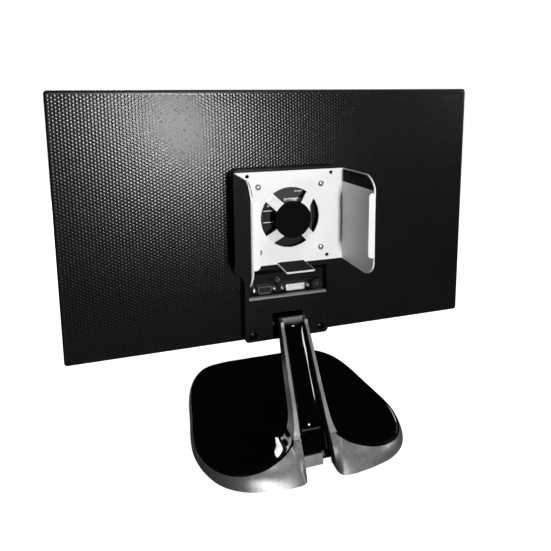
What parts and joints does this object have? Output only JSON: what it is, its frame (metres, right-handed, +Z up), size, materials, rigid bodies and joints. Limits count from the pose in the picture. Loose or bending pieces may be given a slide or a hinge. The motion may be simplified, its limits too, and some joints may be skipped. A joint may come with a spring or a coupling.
{
  "type": "monitor with mini pc cradle",
  "caption": "Flat desktop display seen as one piece with its tilting neck stand and dished base, with an empty folded sheet cradle for a mini PC on its back.",
  "frame": {"origin": "on the desk, under the middle of the base", "axes": "+X to the left as seen from behind, +Y to the rear (the screen faces -Y), +Z up"},
  "size_m": [0.511, 0.2443, 0.396],
  "materials": {
    "rear_black": "semi-matt moulded plastic with a fine pressed dot pattern",
    "satin_black": "satin moulded plastic",
    "gloss_black": "piano-black high gloss",
    "cradle_white": "smooth off-white powder coat on folded sheet",
    "silver_paint": "metallic silver-grey lacquer",
    "steel": "bright steel",
    "zinc": "zinc plated",
    "rubber": "matt rubber",
    "screen": "dark anti-glare screen film",
    "acrylic": "clear acrylic sheet",
    "board_green": "solder-masked circuit board",
    "port_white": "white connector moulding in a tinned shell",
    "port_dark": "dark connector moulding",
    "label_grey": "printed film label",
    "lens": "clear lens"
  },
  "bodies": {
    "stand": {"base_dish": "gloss_black", "base_foot_1": "rubber", "base_foot_2": "rubber", "base_foot_3": "rubber", "base_foot_4": "rubber", "base_plate": "zinc", "base_rear_block": "silver_paint", "base_shell": "silver_paint", "hinge_carrier": "steel", "hinge_nut_1": "steel", "hinge_nut_2": "steel", "hinge_shaft": "steel", "hinge_washer_1": "zinc", "hinge_washer_2": "zinc", "neck_cover": "gloss_black", "neck_shell": "silver_paint", "root_cover": "satin_black", "stand_bolt_1": "zinc", "stand_bolt_2": "zinc"},
    "display": {"audio_jack": "steel", "board_shield": "zinc", "centre_housing": "satin_black", "cradle": "cradle_white", "cradle_liner_1": "rubber", "cradle_liner_2": "rubber", "cradle_pad": "rubber", "cradle_screw_1": "steel", "cradle_screw_2": "steel", "cradle_screw_3": "steel", "cradle_screw_4": "steel", "cradle_spacer_1": "steel", "cradle_spacer_2": "steel", "cradle_spacer_3": "steel", "cradle_spacer_4": "steel", "dc_jack": "port_dark", "dvi_connector": "port_white", "front_bezel": "satin_black", "hinge_bracket": "steel", "hinge_cover": "satin_black", "housing_screw_1": "zinc", "housing_screw_2": "zinc", "jackpost_1": "steel", "jackpost_2": "steel", "jackpost_3": "steel", "jackpost_4": "steel", "key_board": "board_green", "lcd_panel": "screen", "led_driver_board": "board_green", "light_guide": "acrylic", "main_board": "board_green", "panel_chassis": "zinc", "power_led_lens": "lens", "rating_label": "label_grey", "rear_cover": "rear_black", "vga_connector": "zinc"},
    "osd_key_1": {"osd_key_1": "satin_black"},
    "osd_key_2": {"osd_key_2": "satin_black"},
    "osd_key_3": {"osd_key_3": "satin_black"},
    "osd_key_4": {"osd_key_4": "satin_black"},
    "power_key": {"power_key": "satin_black"}
  },
  "joints": [
    {"name": "display_tilt", "type": "hinge", "parent": "stand", "child": "display", "pos_m": [0, -0.00145, 0.116], "axis": [-1, 0, 0], "range_deg": [-5, 20]},
    {"name": "osd_key_1_press", "type": "slide", "parent": "display", "child": "osd_key_1", "axis": [0, 1, 0], "range_m": [0, 0.0006], "stiffness_N_per_m": 1500},
    {"name": "osd_key_2_press", "type": "slide", "parent": "display", "child": "osd_key_2", "axis": [0, 1, 0], "range_m": [0, 0.0006], "stiffness_N_per_m": 1500},
    {"name": "osd_key_3_press", "type": "slide", "parent": "display", "child": "osd_key_3", "axis": [0, 1, 0], "range_m": [0, 0.0006], "stiffness_N_per_m": 1500},
    {"name": "osd_key_4_press", "type": "slide", "parent": "display", "child": "osd_key_4", "axis": [0, 1, 0], "range_m": [0, 0.0006], "stiffness_N_per_m": 1500},
    {"name": "power_key_press", "type": "slide", "parent": "display", "child": "power_key", "axis": [0, 1, 0], "range_m": [0, 0.0006], "stiffness_N_per_m": 1500}
  ]
}
